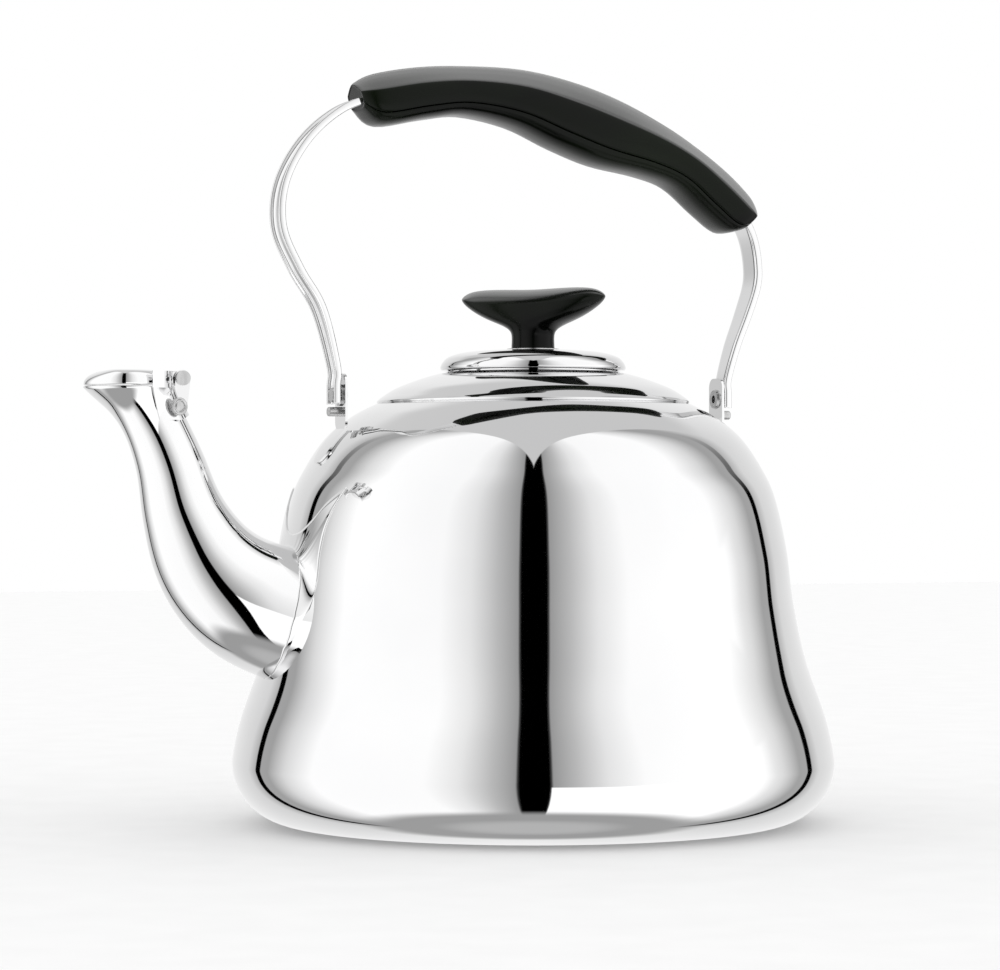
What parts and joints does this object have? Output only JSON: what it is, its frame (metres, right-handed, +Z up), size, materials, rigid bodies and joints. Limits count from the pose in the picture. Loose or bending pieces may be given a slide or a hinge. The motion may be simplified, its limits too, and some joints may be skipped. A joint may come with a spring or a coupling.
{
  "type": "stovetop whistling kettle",
  "caption": "Polished steel stovetop kettle with a swinging bail and black grip, a lift-off lid with a saddle knob, and a hinged whistle flap on a curved spout.",
  "frame": {"origin": "centre of the flat base, on the kettle's axis", "axes": "+Z up along the kettle's axis, -X towards the spout, +Y across, so the bail lies in the XZ plane"},
  "size_m": [0.2785, 0.22, 0.276],
  "materials": {
    "polished_steel": "mirror polished stainless steel",
    "black_bakelite": "glossy black bakelite",
    "aluminium_core": "plain, sealed inside the base",
    "rivet_steel": "satin"
  },
  "bodies": {
    "kettle": {"body_shell": "polished_steel", "base_core": "aluminium_core", "base_cap": "polished_steel", "shoulder_dome": "polished_steel", "spout_tube": "polished_steel", "spout_collar": "polished_steel", "whistle_bracket": "polished_steel", "bracket_rivets": "rivet_steel", "hinge_pin": "rivet_steel", "ear_front": "polished_steel", "ear_rear": "polished_steel", "pivot_rivets": "rivet_steel", "pivot_washers": "rivet_steel", "stop_studs": "rivet_steel"},
    "handle": {"arm_front": "polished_steel", "arm_rear": "polished_steel", "grip_upper": "black_bakelite", "grip_lower": "black_bakelite", "grip_screws": "rivet_steel"},
    "lid": {"lid_cap": "polished_steel", "lid_skirt": "polished_steel", "knob": "black_bakelite", "knob_washer": "rivet_steel", "knob_screw": "rivet_steel"},
    "whistle_flap": {"flap_cap": "polished_steel", "whistle_cup": "polished_steel"}
  },
  "joints": [
    {"name": "handle_swing", "type": "hinge", "parent": "kettle", "child": "handle", "pos_m": [0, 0, 0.1555], "axis": [1, 0, 0], "range_deg": [-32, 32]},
    {"name": "lid_lift", "type": "slide", "parent": "kettle", "child": "lid", "axis": [0, 0, 1], "range_m": [0, 0.035]},
    {"name": "flap_open", "type": "hinge", "parent": "kettle", "child": "whistle_flap", "pos_m": [-0.1342, 0, 0.1608], "axis": [0, 1, 0], "range_deg": [0, 75]}
  ]
}
